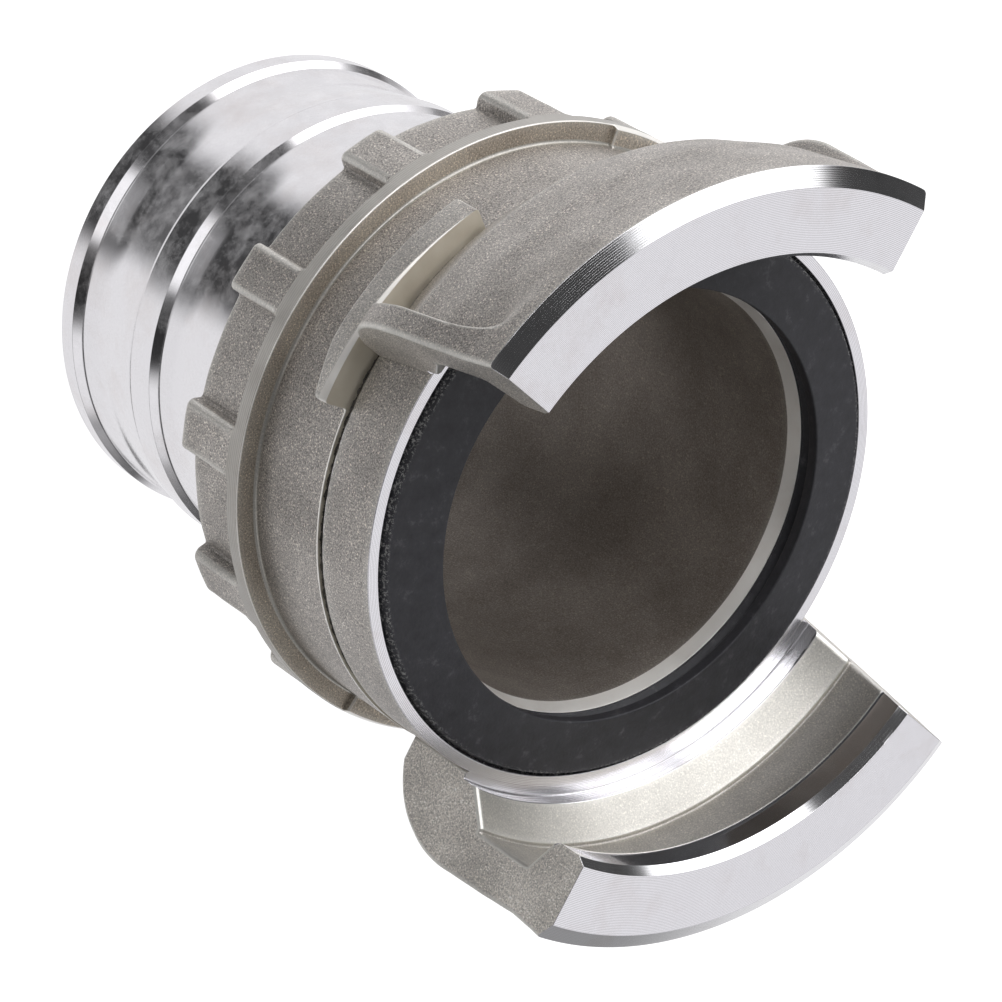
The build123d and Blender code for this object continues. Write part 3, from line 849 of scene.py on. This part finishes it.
def raiseRibs(piece, d):
    tree = ribTree()
    sizes = {
        "Rib Count": d["ribCount"], "First Rib": math.radians(d["firstRib"]), "Rib Width": d["ribWidth"] * mm,
        "Rib Radius": d["flange"] * mm, "Rib Height": (d["flange"] - d["hub"]) * mm,
        "Root Fillet": d["ribRoot"] * mm, "Corner Round": d["ribCorner"] * mm,
        "Cast Slot": piece.data.materials.find("castAluminium"), "Cast Finish": finishes["cast"],
    }
    ribs = piece.modifiers.new("ribs", "NODES")
    ribs.node_group = tree
    for socket in tree.interface.items_tree:
        if socket.in_out == "INPUT" and socket.name in sizes:
            ribs[socket.identifier] = sizes[socket.name]
    plain = settle(piece)
    plain.attributes.remove(plain.attributes["ribReach"])


def columnAngles(d, walls):
    # even columns, and closer ones over the walls of ribs, arcs and pads
    angles = list(np.arange(0, 360, d["longestStep"]))
    for start, width, steps, radius in walls:
        for along, share in steps:
            angles.append((start + math.degrees(along / radius)) % 360)
            angles.append((start + width - math.degrees(along / radius)) % 360)
    kept = []
    for angle in sorted(set(np.round(angles, 4))):
        if not kept or angle - kept[-1] > d["leastStep"]:
            kept.append(angle)
    return np.array(kept)


def ringPiece(d):
    slope = math.tan(math.radians(d["lipSlope"]))
    arcAngle = d["arcAngle"]
    lead, span = math.radians(d["camLead"]), math.radians(arcAngle)
    offset = d["arcDrop"] / (math.cos(lead) - math.cos(span + lead))
    cam = d["arcRadius"] - offset * math.cos(lead)
    ribSteps = wallSteps(d["ribRoot"], d["ribCorner"], d["flange"] - d["hub"])
    arcSteps = wallSteps(d["arcFillet"], d["arcCorner"], d["arcRadius"] - d["skirt"])
    padSteps = wallSteps(d["padFillet"], d["padCorner"], d["padHeight"])
    ribAngle = math.degrees(d["ribWidth"] / d["flange"])
    firstWall = d["firstRib"] - ribAngle / 2
    starts = [firstWall + k * 360 / d["ribCount"] for k in range(d["ribCount"])]
    ribs = [(start, ribAngle, ribSteps, d["flange"]) for start in starts]
    arcs = [(d["arcStart"] + turn, arcAngle, arcSteps, d["arcRadius"]) for turn in (0, 180)]
    pads = [(d["padStart"] + turn, d["padAngle"], padSteps, d["flange"]) for turn in (0, 180)]
    angles = columnAngles(d, ribs + arcs + pads)
    onArc = np.maximum(*[raised(angles, *arc) for arc in arcs])
    onPad = np.maximum(*[raised(angles, *pad) for pad in pads])
    runs = None
    places, reaches = [], []
    for k, angle in enumerate(angles):
        near = d["arcStart"] if (angle - d["arcStart"]) % 360 < 180 else d["arcStart"] + 180
        along = np.clip(((angle - near + d["beforeArc"]) % 360) - d["beforeArc"], 0, arcAngle)
        turn = math.radians(arcAngle - along) + lead
        top = offset * math.cos(turn) + math.sqrt(cam ** 2 - (offset * math.sin(turn)) ** 2)
        level = d["clampLevel"] - d["clampRise"] * (1 - along / arcAngle)
        level += d["leadInDepth"] * max(0.0, (along - arcAngle + d["leadIn"]) / d["leadIn"])
        rearTop = level - (d["arcRadius"] - top) * slope
        rearRoot = level - (d["arcRadius"] - d["skirt"]) * slope
        if runs is None:
            full = ringCorners(d, level, d["arcRadius"], rearTop, rearRoot, 1.0, 0.0, 1.0)
            runs = outline(full, longest=d["longestRun"])[2]
        points, kinds, used = outline(
            ringCorners(d, level, top, rearTop, rearRoot, onArc[k], onPad[k], 0.0), runs=runs)
        ribbed = outline(ringCorners(d, level, top, rearTop, rearRoot, onArc[k], onPad[k], 1.0), runs=runs)[0]
        a = math.radians(angle)
        radius, height = points[:, 0], points[:, 1]
        places.append(np.stack([radius * math.cos(a), radius * math.sin(a), height], axis=1))
        reaches.append(np.insert(ribbed - points, 1, 0, axis=1))
    piece = gridMesh("lockingRing", np.array(places), kinds)
    reach = piece.data.attributes.new("ribReach", "FLOAT_VECTOR", "POINT")
    reach.data.foreach_set("vector", np.array(reaches).ravel() * mm)
    raiseRibs(piece, d)
    markEdges(piece, len(angles), len(kinds))
    return piece


# Face seal

faceSeal = {
    "inner": 45.25, "innerStand": 2.85, "outer": 57.2, "outerStand": 1.0,
    "foot": 58.9, "mouth": 58.1, "footDrop": 1.6, "seatDrop": 3.0, "seatInner": 46.0,
    "lip": 2.55, "lipReach": 2.6, "columns": 360, "longestRun": 1.2,
}


def sealPiece(d):
    lipLevel = faceLevel + d["innerStand"] - d["lip"]
    corners = [
        (d["inner"], faceLevel + d["innerStand"], 0.35, "rubber"),
        (d["inner"], lipLevel, 0.3, "rubber"),
        (d["inner"] + d["lipReach"], lipLevel - d["lipReach"] / 2, 0.3, "rubber"),
        (d["seatInner"], faceLevel - d["seatDrop"], 0.2, "rubber"),
        (d["foot"], faceLevel - d["seatDrop"], 0.2, "rubber"),
        (d["foot"], faceLevel - d["footDrop"], 0.2, "rubber"),
        (d["mouth"], faceLevel - d["footDrop"], 0.2, "rubber"),
        (d["outer"], faceLevel + d["outerStand"], 0.35, "rubber"),
    ]
    points, kinds, used = outline(corners[::-1], longest=d["longestRun"])
    return gridMesh("faceSeal", turnAbout(points, d["columns"]), kinds)


body = turnedBody(bodyTurning)
roughen(body, {"castAluminium", "castBore"}, castSkin["bodyWave"], seed=1.0)
dress(body, "body", "coupling_body")
for name, turned in (("hookLugA", 0), ("hookLugB", 180)):
    lug = oneLug(hookLugs, name, turned)
    roughen(lug, {"castAluminium", "castFloor", "castEndWall"}, castSkin["lugWave"], seed=3.0 + turned)
    dress(lug, "body", "coupling_body")
dress(burrPiece(bandBurr), "body", "coupling_body")
ring = ringPiece(lockingRing)
roughen(ring, {"castAluminium"}, castSkin["ringWave"], seed=7.0)
dress(ring, "ring", "locking_ring")
dress(sealPiece(faceSeal), "body", "face_seal")
wire = frame["nodes"]["retaining_wire"]
wire.data.materials.clear()
wire.data.materials.append(finishes["tail"])
print("pieces made")


# Floor and camera

studio = {
    "cameraPlace": (0.4459, 0.4445, 0.7640), "cameraAhead": (-0.4968, -0.4755, -0.7260),
    "cameraUp": (0.8649, -0.3407, -0.3687), "lens": 164.95, "sensor": 36.0, "clip": 0.01,
    "floorSize": 6.0, "floorColour": (0.4, 0.4, 0.4, 1), "floorRoughness": 0.9,
    "floorGlow": 0.94, "footprint": 0.0495,
}


def makeStage(d):
    bpy.ops.mesh.primitive_plane_add(size=d["floorSize"], location=(0, 0, cadBox[0].z))
    floor = bpy.context.object
    floor.name = "floor"
    floor.visible_glossy = False
    material, tree, shader = newMaterial("paleFloor")
    shader.inputs["Base Color"].default_value = d["floorColour"]
    shader.inputs["Roughness"].default_value = d["floorRoughness"]
    shader.inputs["Emission Color"].default_value = (1, 1, 1, 1)
    away = add(tree, "ShaderNodeVectorMath", operation="LENGTH")
    tree.links.new(tree.nodes.new("ShaderNodeTexCoord").outputs["Object"], away.inputs[0])
    beyond = mathNode(tree, "GREATER_THAN", away.outputs["Value"], d["footprint"])
    tree.links.new(mathNode(tree, "MULTIPLY", beyond, d["floorGlow"]), shader.inputs["Emission Strength"])
    floor.data.materials.append(material)

    camera = bpy.data.objects.new("camera", bpy.data.cameras.new("camera"))
    bpy.context.scene.collection.objects.link(camera)
    ahead, up = Vector(d["cameraAhead"]).normalized(), Vector(d["cameraUp"]).normalized()
    right = ahead.cross(up).normalized()
    up = right.cross(ahead)
    turned = camera.matrix_world.to_3x3()
    turned.col[0], turned.col[1], turned.col[2] = right, up, -ahead
    camera.matrix_world = turned.to_4x4()
    camera.location = d["cameraPlace"]
    camera.data.lens = d["lens"]
    camera.data.sensor_width = d["sensor"]
    camera.data.clip_start = d["clip"]
    bpy.context.scene.camera = camera


makeStage(studio)

# Studio of soft lights and dark flags. A patch is (azimuth, half width, elevation, half height,
# softness, brightness), the first five in degrees; each covers what comes before it.

lightTent = {
    "base": 0.29, "tint": (0.985, 0.98, 1.0, 1),
    "patches": [
        (0, 400, -50, 42, 8, 0.86),        # pale table, seen by the turned cylinders
        (126, 46, -22, 14, 6, 0.08),       # dark wall beyond the table
        (48, 52, 36, 49, 15, 0.06),        # dark room behind the camera
        (37, 37, -44, 30, 11, 0.05),       # dark gap below the camera
        (50, 14, -32, 8, 6, 0.85),         # glow of the middle window on the table
        (0, 25, 42, 9, 4, 3.8),            # lamp
        (-36, 26, 9, 16, 5, 2.9),          # low window on one side
        (12, 17, 14, 14, 5, 0.06),         # dark post
        (51, 16, 10, 11, 4, 1.12),         # low middle window
        (85, 13, 10, 18, 4, 0.03),         # dark post
        (120, 18, 8, 14, 5, 0.9),          # low window on the other side
        (-8, 34, 69, 14, 4, 0.03),         # dark gap overhead
        (-84, 17, -6, 12, 4, 0.05),        # dark gap beside the first window
        (-51, 20, 43, 14, 4, 1.9),         # softbox above the first window
        (-86, 15, 24, 15, 3, 0.03),        # dark gap beside the softbox
        (222, 44, 48, 25, 10, 0.9),        # big softbox opposite the camera
    ],
}


def makeLight(d):
    world = bpy.data.worlds.new("studio")
    bpy.context.scene.world = world
    world.use_nodes = True
    tree = world.node_tree
    split = add(tree, "ShaderNodeSeparateXYZ")
    tree.links.new(tree.nodes.new("ShaderNodeTexCoord").outputs["Generated"], split.inputs[0])
    azimuth = mathNode(tree, "ARCTAN2", split.outputs[1], split.outputs[0])
    elevation = mathNode(tree, "ARCSINE", split.outputs[2])

    def inside(value, centre, half, soft):
        away = mathNode(tree, "SUBTRACT", value, math.radians(centre))
        away = mathNode(tree, "ABSOLUTE", mathNode(tree, "WRAP", away, math.pi, -math.pi))
        edge = mathNode(tree, "SUBTRACT", math.radians(half), away)
        return smoothStep(tree, edge, -math.radians(soft), math.radians(soft))

    level = d["base"]
    for turn, width, rise, height, soft, bright in d["patches"]:
        across, upright = inside(azimuth, turn, width, soft), inside(elevation, rise, height, soft)
        mask = mathNode(tree, "MULTIPLY", across, upright)
        step = mathNode(tree, "MULTIPLY", mask, mathNode(tree, "SUBTRACT", bright, level))
        level = mathNode(tree, "ADD", step, level)
    background = tree.nodes["Background"]
    background.inputs["Color"].default_value = d["tint"]
    tree.links.new(level, background.inputs["Strength"])


makeLight(lightTent)
bpy.context.scene.view_settings.view_transform = "Standard"

print("stage made")
